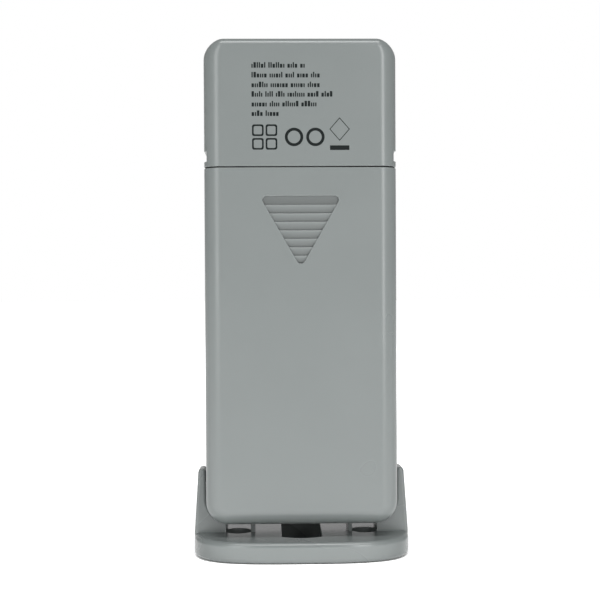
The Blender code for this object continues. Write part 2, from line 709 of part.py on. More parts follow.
def build_screw(name, at, seat_y, into, length, finish, parent):
    """A pan-head screw with a cross recess; into is the direction along Y that it is driven in."""
    x, z = at
    head, height = 2.0, 1.3
    under = seat_y - into * SOLDER_GAP
    profile = [(-height, 1.3), (-height * 0.75, 1.8), (0, head), (0, SCREW_SHANK),
               (length - 1.2, SCREW_SHANK), (length, 0.3)]
    driven = [(under + into * along, radius) for along, radius in profile]
    screw = place(name, turned(driven, at, "Y", 12), (0, 0, 0), finish, parent)
    crown = under - into * height
    deep = sorted((crown - into * 1, crown + into * 0.7))
    return combine(screw, "DIFFERENCE", [box((x - 0.9, x + 0.9), deep, (z - 0.2, z + 0.2)),
                                         box((x - 0.2, x + 0.2), deep, (z - 0.9, z + 0.9))])


def build_screws(finish, parent):
    for number, at in enumerate(CASE_SCREWS, 1):
        build_screw(f"case_screw_{number}", at, DECK_Y[0], 1, 8.0, finish, parent)
    for number, at in enumerate(BOARD_SCREWS, 1):
        build_screw(f"board_screw_{number}", at, BOARD_Y[1], -1, 6.5, finish, parent)


# ---- stand --------------------------------------------------------------------------------

def snap_nub(side):
    """A small ridge inside an arm, which snaps into the groove in the case's side."""
    tip = ARM_INNER - NUB_REACH
    outline = [(ARM_INNER + PAST, NUB_Z - 1.4), (ARM_INNER, NUB_Z - 1.4), (tip, NUB_Z - 0.4),
               (tip, NUB_Z + 0.2), (ARM_INNER, NUB_Z + 1.2), (ARM_INNER + PAST, NUB_Z + 1.2)]
    return prism([(side * x, z) for x, z in outline], "Y", -NUB_HALF_DEPTH, NUB_HALF_DEPTH)


def build_stand(finish):
    stand = place("stand", base_slab(), (0, 0, 0), finish)
    under = BASE_TOP - BASE_FLOOR
    combine(stand, "DIFFERENCE", [loft([oval(z, BASE_WALL + BASE_FOOT_FILLET) for z in (-PAST, under)])])
    root = under + 0.5
    added = [prism(slot_outline(SLOT_WALL), "Z", 0, root)]
    for side in (-1, 1):
        fixing = (side * FIXING_X, FIXING_Y)
        added.append(prism(circle(fixing, FIXING_RADIUS + HOLE_WALL, 20), "Z", 0, root))
        web = sorted((side * (SLOT_HALF_WIDTH + 0.8), side * (FIXING_X - FIXING_RADIUS - 0.25)))
        added.append(box(web, (-WEB_HALF_DEPTH, WEB_HALF_DEPTH), (0, root)))
        added.append(prism(arm_outline(side), "Y", -ARM_HALF_DEPTH, ARM_HALF_DEPTH))
        rib = sorted(side * x for x in RIB_X)
        added.append(box(rib, (-ARM_HALF_DEPTH, ARM_HALF_DEPTH), (BASE_TOP - GUSSET_ROOT, CASE_BOTTOM - FIT)))
        added.append(snap_nub(side))
    combine(stand, "UNION", added)
    through = (-2 * PAST, BASE_TOP + PAST)
    holes = [prism(circle((side * FIXING_X, FIXING_Y), FIXING_RADIUS, 20), "Z", *through) for side in (-1, 1)]
    return combine(stand, "DIFFERENCE", [prism(slot_outline(0), "Z", *through), *holes])


def main():
    clear_scene()
    grey = (0.29, 0.32, 0.32)
    finishes = {
        "black_plastic": material("black_plastic", (0.02, 0.02, 0.02), 0.5),
        "white_plastic": material("white_plastic", (0.75, 0.75, 0.72), 0.4),
        "board_green": material("board_green", (0.02, 0.16, 0.07), 0.45),
        "bright_metal": material("bright_metal", (0.75, 0.75, 0.75), 0.25, 1.0),
        "contact_metal": material("contact_metal", (0.72, 0.70, 0.66), 0.3, 1.0),
        "red_lens": material("red_lens", (0.6, 0.02, 0.02), 0.15),
        "clear_plastic": material("clear_plastic", (0.85, 0.87, 0.88), 0.1),
        "cell_wrap": material("cell_wrap", (0.10, 0.12, 0.16), 0.35),
    }
    transmitter = bpy.data.objects.new("transmitter", None)
    transmitter.location = (0, 0, CASE_BOTTOM * MM)
    bpy.context.scene.collection.objects.link(transmitter)
    build_stand(material("stand_grey", grey, 0.45))
    build_front_case(material("front_case_grey", grey, 0.45), transmitter)
    build_rear_case(material("rear_case_grey", grey, 0.45), transmitter)
    build_battery_cover(material("battery_cover_grey", grey, 0.45), transmitter)
    build_circuit_board(material("circuit_board_green", (0.02, 0.16, 0.07), 0.4), transmitter)
    build_board_parts(finishes, transmitter)
    build_status_light(finishes, transmitter)
    build_antenna(material("antenna_copper", (0.60, 0.33, 0.20), 0.3, 1.0), transmitter)
    build_tx_switch(finishes, transmitter)
    build_channel_switch(finishes, transmitter)
    build_power(finishes, transmitter)
    build_screws(finishes["bright_metal"], transmitter)


main()
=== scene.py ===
"""Looks of the outdoor temperature and humidity transmitter in its cradle stand.

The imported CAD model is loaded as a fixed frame. The visible mouldings are rebuilt here as fine
meshes around it, and every other CAD node keeps its shape and gets a procedural material.
Sizes are in millimetres and are turned into metres when a piece is finished. -Y is the back.
"""
import math
import random

import bmesh
import bpy
from mathutils import Matrix, Vector


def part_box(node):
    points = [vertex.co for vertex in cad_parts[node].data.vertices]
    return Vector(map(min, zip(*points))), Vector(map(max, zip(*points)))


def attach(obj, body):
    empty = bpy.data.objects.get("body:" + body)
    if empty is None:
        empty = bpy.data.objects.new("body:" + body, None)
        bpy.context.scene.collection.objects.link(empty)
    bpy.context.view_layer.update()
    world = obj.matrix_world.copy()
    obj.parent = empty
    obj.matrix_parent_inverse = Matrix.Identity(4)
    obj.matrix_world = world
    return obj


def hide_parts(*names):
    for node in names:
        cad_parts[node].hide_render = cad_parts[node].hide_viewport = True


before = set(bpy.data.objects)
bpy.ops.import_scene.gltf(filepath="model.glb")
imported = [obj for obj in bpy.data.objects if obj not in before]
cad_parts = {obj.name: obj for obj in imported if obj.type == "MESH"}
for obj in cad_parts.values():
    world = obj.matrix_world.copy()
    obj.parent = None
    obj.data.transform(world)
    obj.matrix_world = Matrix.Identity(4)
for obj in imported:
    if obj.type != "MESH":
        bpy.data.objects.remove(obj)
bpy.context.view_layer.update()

MM = 0.001


def node_box(node):
    """A CAD node's lowest and highest corners at rest, in millimetres."""
    low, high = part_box(node)
    return Vector(low) / MM, Vector(high) / MM


FRONT_LOW, FRONT_HIGH = node_box("front_case")
REAR_LOW, _ = node_box("rear_case")
_, STAND_HIGH = node_box("stand")
BOARD_LOW, _ = node_box("circuit_board")

# Case
CASE_HALF_WIDTH = FRONT_HIGH.x
CASE_BOTTOM = FRONT_LOW.z
CASE_TOP = FRONT_HIGH.z
CASE_REAR = REAR_LOW.y
CASE_FRONT = FRONT_HIGH.y
CASE_WALL = 1.6
TOP_CORNER = 4.2
BOTTOM_CORNER = 4.7
REAR_FILLETS = {"side": 3.5, "top": 1.7, "bottom": 3.8}
FRONT_FILLETS = {"side": 3.5, "top": 3.2, "bottom": 3.8}
LEAST_FILLET = 0.6
LEAST_CORNER = 0.5
FRONT_RIM = FRONT_LOW.y
PARTING_Y = FRONT_RIM - 0.15
FIT = 0.3
SEAM_Z = 81.2
SEAM_GAP = 0.24
EDGE_ROUND = 0.14
WALL_CLIP_Z = (82.45, 84.55)
WALL_CLIP_Y = (-9.7, 1.5)
NUB_GROOVE_TOP = 17.5
NUB_GROOVE_Y = (-1.05, 1.05)
GROOVE_DEPTH = 0.6
FAR = 30

# Inside of the rear case
DECK_Y = (-3.6, -2.4)
DECK_RIM_Y = -5.2
DECK_RIM_WIDTH = 1.0
DECK_INSET = CASE_WALL + FIT
PARTITION_Z = (83.0, 84.2)
WELL_HALF_WIDTH = 15.4
WELL_Z = (15.6, 71.4)
WELL_FLOOR_Y = 6.0
WELL_WALL = 1.2
LIP_INSET = 3.1
CELL_X = 7.6
SWITCH_Z = 78.0
TX_X = -6.0
CHANNEL_X = 5.0
CHANNEL_STEP = 2.0
TX_HOLE = 2.2
CHANNEL_SLOT_END = 1.6
CHANNEL_SLOT_HALF_HEIGHT = 1.4
CONTACT_SLOT_HALF_WIDTH = 1.8
CONTACT_SLOT_Y = (3.7, 4.7)
LIGHT_Z = 100.0
LIGHT_RADIUS = 1.7
LIGHT_ROUND = 0.3
BOARD_SCREWS = [(-12.0, 99.0), (12.0, 99.0)]
CASE_SCREWS = [(-13.8, 78.0), (13.8, 78.0), (-10.0, 12.0), (10.0, 12.0)]
SCREW_HOLE = 1.3
BOSS_RADIUS = 2.2
BOSS_CHAMFER = 0.2
BOSS_FLARE = 0.15

# Battery cover
COVER_HOOK_Z = (30.0, 58.0)
HOOK_X = (16.9, 18.0)
HOOK_LENGTH = 2.0
HOOK_REACH = 1.5
COVER_STROKE = 1.8
TONGUE_HALF_WIDTH = 9
TONGUE_THICK = 1.2
GRIP_TOP_Z = 75.18
GRIP_HEIGHT = 14.8
GRIP_HALF_WIDTH = 8.46
GRIP_CORNER = 0.85
GRIP_BANDS = 8
GRIP_PITCH = 1.75
GRIP_SHALLOW = 0.32
GRIP_DEEP = 0.68
GRIP_RIM = 0.22
TOOTH_ROUND = 0.28
GRIP_MARGIN = 1.0
# Painted shade inside the thumb grip: the grey the colour is multiplied by, its share at the teeth's lips,
# and how much deeper than the lips it starts.
GRIP_SHADE = 0.55
GRIP_SHADE_AT_LIP = 0.25
GRIP_SHADE_START = 0.03

# Vents
VENT_COUNT = 5
VENT_PITCH = 2.6
VENT_BOTTOM_Z = 82.0
VENT_HALF_LENGTH = 7.0
VENT_HALF_HEIGHT = 0.6
VENT_ROUND = 0.25

# Stand
BASE_HALF_X = STAND_HIGH.x
BASE_HALF_Y = STAND_HIGH.y
BASE_POWER = 3.35
BASE_TOP = 4.3
BASE_TOP_FILLET = 1.0
BASE_FOOT_FILLET = 0.9
BASE_WALL = 1.7
BASE_FLOOR = 1.8
ARM_HALF_DEPTH = 3.5
ARM_INNER = 20.45
ARM_TOP = STAND_HIGH.z
ARM_DRAFT = 0.75
ARM_TAPER = 0.25
ARM_CORNER = 0.9
ARM_LIP = 0.6
ARM_EDGE_ROUND = 0.55
ARM_HAIR = 0.015
CRADLE_GAP = 0.35
GUSSET_INNER = 15.85
RIB_X = (9.9, 10.8)
RIB_ROUND = 0.2
WEB_HALF_DEPTH = 3
SLOT_WALL = 1.2
FIXING_X = 13.5
FIXING_Y = -2.0
FIXING_RADIUS = 2.75
FIXING_WALL = 1.5
SLOT_HALF_WIDTH = 4.25
SLOT_CORNER_Y = 8.4
SLOT_END_Y = 9.9
HOLE_ROUND = 0.22
NUB_Z = 16.0
NUB_HALF_DEPTH = 0.7
NUB_REACH = 0.8
NUB_CREST = 0.72

CORNER_STEPS = 14
FILLET_STEPS = 14


# ---- mesh building ------------------------------------------------------------------------

def loft(rings, capped=True):
    """A skin over rings of points, closed by flat ends, or joined round into itself."""
    mesh = bmesh.new()
    rows = [[mesh.verts.new(point) for point in ring] for ring in rings]
    pairs = list(zip(rows, rows[1:]))
    if capped:
        mesh.faces.new(rows[0])
        mesh.faces.new(rows[-1])
    else:
        pairs.append((rows[-1], rows[0]))
    for first, second in pairs:
        for i in range(len(first)):
            j = (i + 1) % len(first)
            mesh.faces.new((first[i], first[j], second[j], second[i]))
    bmesh.ops.recalc_face_normals(mesh, faces=mesh.faces)
    return mesh


def placed(pair, axis, along):
    """A point from a flat outline's pair and its place along the axis that the outline leaves out."""
    point = list(pair)
    point.insert("XYZ".index(axis), along)
    return point


def prism(outline, axis, start, end):
    return loft([[placed(pair, axis, along) for pair in outline] for along in (start, end)])


def layered(outline_at, axis, stations):
    """A prism whose outline changes along its axis: stations are (place along it, growth)."""
    return loft([[placed(pair, axis, along) for pair in outline_at(growth)]
                 for along, growth in stations])


def box(x, y, z):
    return prism([(x[0], y[0]), (x[1], y[0]), (x[1], y[1]), (x[0], y[1])], "Z", *z)


def circle(centre, radius, steps=48):
    return [(centre[0] + radius * math.cos(math.tau * i / steps),
             centre[1] + radius * math.sin(math.tau * i / steps)) for i in range(steps)]


def turned(profile, centre, axis="Y", steps=48):
    """A solid of revolution: profile pairs are (place along the axis, radius)."""
    return loft([[placed(pair, axis, along) for pair in circle(centre, radius, steps)]
                 for along, radius in profile])


def arc(centre, radius, start, end, steps):
    """Points on an arc, with angles in degrees from the first axis towards the second."""
    angles = [math.radians(start + (end - start) * i / steps) for i in range(steps + 1)]
    return [(centre[0] + radius * math.cos(a), centre[1] + radius * math.sin(a)) for a in angles]


def stadium(centre, half_length, half_height, steps=12):
    x, z = centre
    run = half_length - half_height
    return (arc((x + run, z), half_height, -90, 90, steps)
            + arc((x - run, z), half_height, 90, 270, steps))


def rounded_bar(x, z, width, height, corner):
    """A rounded rectangle's outline, by its left end and foot."""
    points = []
    for cx, cz, start in ((x + width - corner, z + height - corner, 0), (x + corner, z + height - corner, 90),
                          (x + corner, z + corner, 180), (x + width - corner, z + corner, 270)):
        points += arc((cx, cz), corner, start, start + 90, 3)
    return points


def rolled(depth, width):
    """How far a quarter-round edge of this width has stepped back at this depth from the face."""
    if depth >= width:
        return 0.0
    return width * (1 - math.sqrt(1 - (1 - depth / width) ** 2))


def flare(face, into, width, beyond=1.0, steps=6):
    """Stations for a cutter that leaves a rounded edge: it widens as it comes out of the face."""
    stations = [(face - into * beyond, width)]
    for i in range(steps + 1):
        depth = width * math.sin(math.radians(90 * i / steps))
        stations.append((face + into * depth, rolled(depth, width)))
    return stations


def case_ring(y, depth, wall, fillets):
    """The case's outline at one place along Y, depth behind its end face and wall inside its skin."""
    side, top, bottom = (rolled(depth, max(fillets[edge] - wall, LEAST_FILLET))
                         for edge in ("side", "top", "bottom"))
    half = CASE_HALF_WIDTH - wall - side
    low = CASE_BOTTOM + wall + bottom
    high = CASE_TOP - wall - top
    points = []
    for sign_x, sign_z, radius, shrink, start in (
        (1, 1, TOP_CORNER, top, 0), (-1, 1, TOP_CORNER, top, 90),
        (-1, -1, BOTTOM_CORNER, bottom, 180), (1, -1, BOTTOM_CORNER, bottom, 270),
    ):
        across = max(radius - wall - side, LEAST_CORNER)
        upright = max(radius - wall - shrink, LEAST_CORNER)
        corner_x = sign_x * (half - across)
        corner_z = (high - upright) if sign_z > 0 else (low + upright)
        for a, b in arc((0, 0), 1, start, start + 90, CORNER_STEPS):
            points.append((corner_x + across * a, y, corner_z + upright * b))
    return points


def end_depths(width):
    """Depths at which a rounded end is sampled, closer together near its face."""
    turns = [math.radians(90 * i / FILLET_STEPS) for i in range(FILLET_STEPS + 1)]
    return [width * (1 - math.cos(turn)) for turn in turns]


def case_shell(end_y, rim_y, fillets):
    """One half of the case: a rounded tray with an even wall, open at rim_y, its rim slightly rounded."""
    inward = 1 if rim_y > end_y else -1
    widest = max(fillets.values())
    outer = [(end_y + inward * d, d, 0) for d in end_depths(widest)]
    deep = abs(rim_y - end_y)
    outer += [(rim_y - inward * EDGE_ROUND * (1 - s), deep, EDGE_ROUND * (1 - math.sqrt(1 - s * s)))
              for s in (0.0, 0.5, 0.87, 1.0)]
    inner_end = end_y + inward * CASE_WALL
    inner = [(inner_end + inward * d, d, CASE_WALL) for d in end_depths(widest - CASE_WALL)]
    inner.append((rim_y, abs(rim_y - inner_end), CASE_WALL))
    return loft([case_ring(y, depth, wall, fillets) for y, depth, wall in outer + inner[::-1]])


# ---- solids by Booleans -------------------------------------------------------------------

def scratch(mesh):
    """A linked object in millimetres that is only used to work a shape out."""
    data = bpy.data.meshes.new("scratch")
    mesh.to_mesh(data)
    mesh.free()
    obj = bpy.data.objects.new("scratch", data)
    bpy.context.scene.collection.objects.link(obj)
    return obj


def solved(mesh, *steps, bevel=0.0):
    """Runs Booleans on a mesh and, if asked, a small bevel on its sharp edges; returns a new mesh."""
    base = scratch(mesh)
    helpers = []
    for operation, shapes in steps:
        for shape in shapes:
            helper = scratch(shape)
            helpers.append(helper)
            step = base.modifiers.new("step", "BOOLEAN")
            step.operation = operation
            step.object = helper
    weld = base.modifiers.new("weld", "WELD")
    weld.merge_threshold = 0.0005
    if bevel:
        edge = base.modifiers.new("bevel", "BEVEL")
        edge.width = bevel
        edge.segments = 3
        edge.limit_method = "ANGLE"
        edge.angle_limit = math.radians(60)
        edge.use_clamp_overlap = True
        edge.miter_outer = "MITER_ARC"
    graph = bpy.context.evaluated_depsgraph_get()
    data = bpy.data.meshes.new_from_object(base.evaluated_get(graph))
    for obj in [base, *helpers]:
        old = obj.data
        bpy.data.objects.remove(obj, do_unlink=True)
        bpy.data.meshes.remove(old)
    made = bmesh.new()
    made.from_mesh(data)
    bpy.data.meshes.remove(data)
    return made


def piece(name, mesh, finish, body, replaced=()):
    """Finishes a mesh in millimetres as a piece of the object, in metres, riding on a body."""
    bmesh.ops.scale(mesh, vec=Vector((MM, MM, MM)), verts=mesh.verts)
    data = bpy.data.meshes.new(name)
    mesh.to_mesh(data)
    mesh.free()
    data.shade_smooth()
    data.set_sharp_from_angle(angle=math.radians(35))
    data.materials.append(finish)
    obj = bpy.data.objects.new(name, data)
    bpy.context.scene.collection.objects.link(obj)
    weighted = obj.modifiers.new("weighted_normals", "WEIGHTED_NORMAL")
    weighted.keep_sharp = True
    weighted.weight = 100
    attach(obj, body)
    if replaced:
        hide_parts(*replaced)


# ---- materials ----------------------------------------------------------------------------

def node(tree, kind, **values):
    """Adds a shader node; values name its inputs, with _ for a space, or its own settings."""
    made = tree.nodes.new(kind)
    for key, value in values.items():
        name = key.replace("_", " ")
        if name in made.inputs:
            made.inputs[name].default_value = value
        else:
            setattr(made, key, value)
    return made


def surface(name, colour, roughness, metallic=0.0, **values):
    """A material with its Principled shader ready; returns the material, its tree and its shader."""
    made = bpy.data.materials.new(name)
    made.use_nodes = True
    tree = made.node_tree
    shader = tree.nodes["Principled BSDF"]
    shader.inputs["Base Color"].default_value = (*colour, 1)
    shader.inputs["Roughness"].default_value = roughness
    shader.inputs["Metallic"].default_value = metallic
    for key, value in values.items():
        shader.inputs[key.replace("_", " ")].default_value = value
    return made, tree, shader


def varied_colour(tree, shader, colour, spread, scale):
    """Drifts the base colour a little around its value, over patches of this scale."""
    place = node(tree, "ShaderNodeTexCoord")
    noise = node(tree, "ShaderNodeTexNoise", Scale=scale, Detail=3.0)
    ramp = node(tree, "ShaderNodeValToRGB")
    ramp.color_ramp.elements[0].position = 0.3
    ramp.color_ramp.elements[1].position = 0.7
    ramp.color_ramp.elements[0].color = (*[c * (1 - spread) for c in colour], 1)
    ramp.color_ramp.elements[1].color = (*[c * (1 + spread) for c in colour], 1)
    tree.links.new(place.outputs["Object"], noise.inputs["Vector"])
    tree.links.new(noise.outputs["Fac"], ramp.inputs["Fac"])
    tree.links.new(ramp.outputs["Color"], shader.inputs["Base Color"])
    return place


def varied_roughness(tree, shader, place, low, high, scale):
    """Drifts the roughness between two values, smoothly."""
    noise = node(tree, "ShaderNodeTexNoise", Scale=scale, Detail=0.0)
    spread = node(tree, "ShaderNodeMapRange")
    spread.inputs["To Min"].default_value = low
    spread.inputs["To Max"].default_value = high
    tree.links.new(place.outputs["Object"], noise.inputs["Vector"])
    tree.links.new(noise.outputs["Fac"], spread.inputs["Value"])
    tree.links.new(spread.outputs["Result"], shader.inputs["Roughness"])


def grained(tree, shader, place, scale, distance, strength=1.0):
    """A fine moulded grain, as a bump."""
    noise = node(tree, "ShaderNodeTexNoise", Scale=scale, Detail=2.0, Roughness=0.6)
    bump = node(tree, "ShaderNodeBump", Strength=strength, Distance=distance)
    tree.links.new(place.outputs["Object"], noise.inputs["Vector"])
    tree.links.new(noise.outputs["Fac"], bump.inputs["Height"])
    tree.links.new(bump.outputs["Normal"], shader.inputs["Normal"])
    return bump


def moulded_plastic(name, colour, rough, grain=0.0000015, spread=0.015):
    """Spark-textured ABS: satin, with a grain of about a fifth of a millimetre."""
    made, tree, shader = surface(name, colour, sum(rough) / 2, IOR=1.5)
    place = varied_colour(tree, shader, colour, spread, 70.0)
    varied_roughness(tree, shader, place, rough[0], rough[1], 80.0)
    grained(tree, shader, place, 3000.0, grain)
    return made


def metal(name, colour, rough):
    """Plated or drawn metal, with a fine uneven polish."""
    scale, grain = 2500.0, 0.000003
    made, tree, shader = surface(name, colour, sum(rough) / 2, 1.0)
    place = varied_colour(tree, shader, colour, 0.05, 400.0)
    varied_roughness(tree, shader, place, rough[0], rough[1], scale)
    grained(tree, shader, place, scale, grain)
    return made


def solder_mask(name):
    """A green board: a lighter green where copper tracks run under the mask."""
    green, track = (0.012, 0.13, 0.05), (0.03, 0.24, 0.09)
    made, tree, shader = surface(name, green, 0.35, IOR=1.5)
    place = node(tree, "ShaderNodeTexCoord")
    brick = node(tree, "ShaderNodeTexBrick", Scale=420.0, Mortar_Size=0.12, Mortar_Smooth=0.1)
    brick.inputs["Color1"].default_value = (*green, 1)
    brick.inputs["Color2"].default_value = (*[c * 0.8 for c in green], 1)
    brick.inputs["Mortar"].default_value = (*track, 1)
    turn = node(tree, "ShaderNodeMapping")
    turn.inputs["Rotation"].default_value = (math.radians(90), 0, 0)
    tree.links.new(place.outputs["Object"], turn.inputs["Vector"])
    tree.links.new(turn.outputs["Vector"], brick.inputs["Vector"])
    tree.links.new(brick.outputs["Color"], shader.inputs["Base Color"])
    varied_roughness(tree, shader, place, 0.28, 0.42, 1500.0)
    bump = node(tree, "ShaderNodeBump", Strength=0.6, Distance=0.00003)
    tree.links.new(brick.outputs["Fac"], bump.inputs["Height"])
    tree.links.new(bump.outputs["Normal"], shader.inputs["Normal"])
    return made


def cell_jacket(name, low_z, high_z, plus_up):
    """A printed jacket in two plain colours, with bare steel at both ends."""
    dark, band, steel = (0.02, 0.03, 0.05), (0.42, 0.26, 0.05), (0.62, 0.62, 0.60)
    made, tree, shader = surface(name, dark, 0.3, 0.6)
    place = node(tree, "ShaderNodeTexCoord")
    split = node(tree, "ShaderNodeSeparateXYZ")
    span = node(tree, "ShaderNodeMapRange")
    span.inputs["From Min"].default_value = (low_z if plus_up else high_z) * MM
    span.inputs["From Max"].default_value = (high_z if plus_up else low_z) * MM
    ramp = node(tree, "ShaderNodeValToRGB")
    ramp.color_ramp.interpolation = "CONSTANT"
    ramp.color_ramp.elements[0].color = (*steel, 1)
    for position, colour in ((0.02, dark), (0.70, band), (0.955, steel)):
        ramp.color_ramp.elements.new(position).color = (*colour, 1)
    ramp.color_ramp.elements.remove(ramp.color_ramp.elements[-1])
    tree.links.new(place.outputs["Object"], split.inputs["Vector"])
    tree.links.new(split.outputs["Z"], span.inputs["Value"])
    tree.links.new(span.outputs["Result"], ramp.inputs["Fac"])
    tree.links.new(ramp.outputs["Color"], shader.inputs["Base Color"])
    varied_roughness(tree, shader, place, 0.22, 0.36, 600.0)
    grained(tree, shader, place, 1500.0, 0.000004)
    return made


def printing_ink():
    """Pad-printing ink: black and dull."""
    black = (0.003, 0.005, 0.005)
    made, tree, shader = surface("printing_ink", black, 0.6, Specular_IOR_Level=0.12)
    place = varied_colour(tree, shader, black, 0.2, 1500.0)
    grained(tree, shader, place, 5200.0, 0.000004)
    return made


def painted_grip_shade(plastic):
    """Paints shade into the plastic inside the thumb grip, darker towards its floor.

    The tint is matched to the photograph's shading of the recess, which is stronger than this
    light makes it. It isn't a colour of the part.
    """
    tree = plastic.node_tree
    shader = tree.nodes["Principled BSDF"]
    colour = shader.inputs["Base Color"].links[0].from_socket
    place = node(tree, "ShaderNodeTexCoord")
    split = node(tree, "ShaderNodeSeparateXYZ")
    tree.links.new(place.outputs["Object"], split.inputs["Vector"])
    across = node(tree, "ShaderNodeMath", operation="ABSOLUTE")
    tree.links.new(split.outputs["X"], across.inputs[0])
    start = CASE_REAR + GRIP_SHALLOW + GRIP_SHADE_START
    depth = node(tree, "ShaderNodeMapRange")
    depth.inputs["From Min"].default_value = start * MM
    depth.inputs["From Max"].default_value = (CASE_REAR + GRIP_DEEP) * MM
    depth.inputs["To Min"].default_value = GRIP_SHADE_AT_LIP
    tree.links.new(split.outputs["Y"], depth.inputs["Value"])
    shade = depth.outputs["Result"]
    for value, operation, limit in (
            (split.outputs["Y"], "GREATER_THAN", start),
            (across.outputs[0], "LESS_THAN", GRIP_HALF_WIDTH + GRIP_MARGIN),
            (split.outputs["Z"], "LESS_THAN", GRIP_TOP_Z + GRIP_MARGIN),
            (split.outputs["Z"], "GREATER_THAN", GRIP_TOP_Z - GRIP_HEIGHT - GRIP_MARGIN)):
        test = node(tree, "ShaderNodeMath", operation=operation)
        tree.links.new(value, test.inputs[0])
        test.inputs[1].default_value = limit * MM
        both = node(tree, "ShaderNodeMath", operation="MULTIPLY")
        tree.links.new(shade, both.inputs[0])
        tree.links.new(test.outputs[0], both.inputs[1])
        shade = both.outputs[0]
    mix = node(tree, "ShaderNodeMixRGB", blend_type="MULTIPLY")
    mix.inputs["Color2"].default_value = (GRIP_SHADE, GRIP_SHADE, GRIP_SHADE, 1)
    tree.links.new(shade, mix.inputs["Fac"])
    tree.links.new(colour, mix.inputs["Color1"])
    tree.links.new(mix.outputs["Color"], shader.inputs["Base Color"])


# Fitted together with the lights below, so it is not a measured colour.
GREY = (0.113, 0.125, 0.123)
CASE_PLASTIC = moulded_plastic("case_plastic", GREY, (0.25, 0.35))
COVER_PLASTIC = moulded_plastic("cover_plastic", GREY, (0.25, 0.35))
# Painted shade: the cover's plastic is darkened inside the thumb grip, towards its floor.
painted_grip_shade(COVER_PLASTIC)
STAND_PLASTIC = moulded_plastic("stand_plastic", GREY, (0.22, 0.32), grain=0.0000008)


# ---- case ---------------------------------------------------------------------------------

def side_groove(side, y, z):
    """A shallow groove in one side of the case, with slanted, slightly rounded walls."""
    surface_x, floor_x = CASE_HALF_WIDTH, CASE_HALF_WIDTH - GROOVE_DEPTH

    def outline(growth):
        return [(y[0] - growth, z[0] - growth), (y[1] + growth, z[0] - growth),
                (y[1] + growth, z[1] + growth), (y[0] - growth, z[1] + growth)]

    stations = [(side * floor_x, 0.0), (side * (surface_x - 0.12), 0.05), (side * surface_x, 0.14),
                (side * (surface_x + 2), 0.5)]
    return layered(outline, "X", stations)


def wall_clip_grooves():
    return [side_groove(side, WALL_CLIP_Y, WALL_CLIP_Z) for side in (-1, 1)]


def nub_grooves():
    return [side_groove(side, NUB_GROOVE_Y, (CASE_BOTTOM - 1, NUB_GROOVE_TOP)) for side in (-1, 1)]


def vent_cutter(z):
    """One louvre slot, with a rounded outer edge."""
    outer = CASE_FRONT

    def outline(growth):
        return stadium((0, z), VENT_HALF_LENGTH + growth, VENT_HALF_HEIGHT + growth)

    return layered(outline, "Y", flare(outer, -1, VENT_ROUND) + [(outer - CASE_WALL - 1, 0.0)])


def light_cutter():
    """The round hole for the status light, with a rounded outer edge."""
    stations = flare(CASE_FRONT, -1, LIGHT_ROUND) + [(CASE_FRONT - CASE_WALL - 1, 0.0)]
    return layered(lambda growth: circle((0, LIGHT_Z), LIGHT_RADIUS + growth), "Y", stations)


def build_front_case():
    face = CASE_FRONT - CASE_WALL
    stop = DECK_Y[1] + 0.2
    boss = [(stop, BOSS_RADIUS - BOSS_CHAMFER), (stop + BOSS_CHAMFER, BOSS_RADIUS),
            (face + 0.5, BOSS_RADIUS + BOSS_FLARE)]
    bosses = [turned(boss, at) for at in CASE_SCREWS]
    cutters = wall_clip_grooves() + nub_grooves()
    cutters += [turned([(stop - 1, SCREW_HOLE), (face - 2, SCREW_HOLE)], at) for at in CASE_SCREWS]
    cutters.append(light_cutter())
    cutters += [vent_cutter(VENT_BOTTOM_Z + row * VENT_PITCH) for row in range(VENT_COUNT)]
    shell = case_shell(CASE_FRONT, FRONT_RIM, FRONT_FILLETS)
    made = solved(shell, ("UNION", bosses), ("DIFFERENCE", cutters))
    piece("front_case_moulding", made, CASE_PLASTIC, "transmitter", replaced=["front_case"])


def locating_lip():
    """A ring inside the rear case that steps into the front case and lines the two up."""
    deep = CASE_FRONT
    root, tip = PARTING_Y - 2.5, DECK_Y[1] + 0.4
    step = PARTING_Y - 0.1
    corners = [(root, CASE_WALL - 0.5), (step, CASE_WALL - 0.5), (step, DECK_INSET), (tip, DECK_INSET),
               (tip, LIP_INSET), (root, LIP_INSET)]
    return loft([case_ring(y, deep, inset, REAR_FILLETS) for y, inset in corners], capped=False)


def deck_plate():
    edge = DECK_INSET + 0.1
    steps = [(DECK_Y[1], edge), (DECK_RIM_Y, edge), (DECK_RIM_Y, edge + DECK_RIM_WIDTH),
             (DECK_Y[0], edge + DECK_RIM_WIDTH)]
    return loft([case_ring(y, CASE_FRONT, inset, REAR_FILLETS) for y, inset in steps])


def battery_well(inner):
    grow = 0 if inner else WELL_WALL
    rear = DECK_Y[0] - 5 if inner else DECK_Y[0] + 0.4
    half = WELL_HALF_WIDTH + grow
    return box((-half, half), (rear, WELL_FLOOR_Y + grow), (WELL_Z[0] - grow, WELL_Z[1] + grow))


def partition_outline():
    half = CASE_HALF_WIDTH - CASE_WALL
    right = [(half + 0.4, CASE_REAR + CASE_WALL - 0.4), (half + 0.4, PARTING_Y - 0.2),
             (half - 2 * FIT, PARTING_Y - 0.2), (half - 2 * FIT, DECK_Y[1] - 0.4)]
    return right + [(-x, y) for x, y in reversed(right)]


def hook_notches():
    notches = []
    for side in (-1, 1):
        x = sorted((side * (HOOK_X[0] - FIT), side * (HOOK_X[1] + FIT)))
        for z in COVER_HOOK_Z:
            low = z - COVER_STROKE - FIT
            notches.append(box(x, (DECK_RIM_Y - 1, DECK_Y[1] + 1), (low, z + HOOK_LENGTH + FIT)))
    return notches


def level_slab(low_z, high_z):
    """Everything between two heights, further out than any side of the object."""
    return box((-FAR, FAR), (-FAR, FAR), (low_z, high_z))


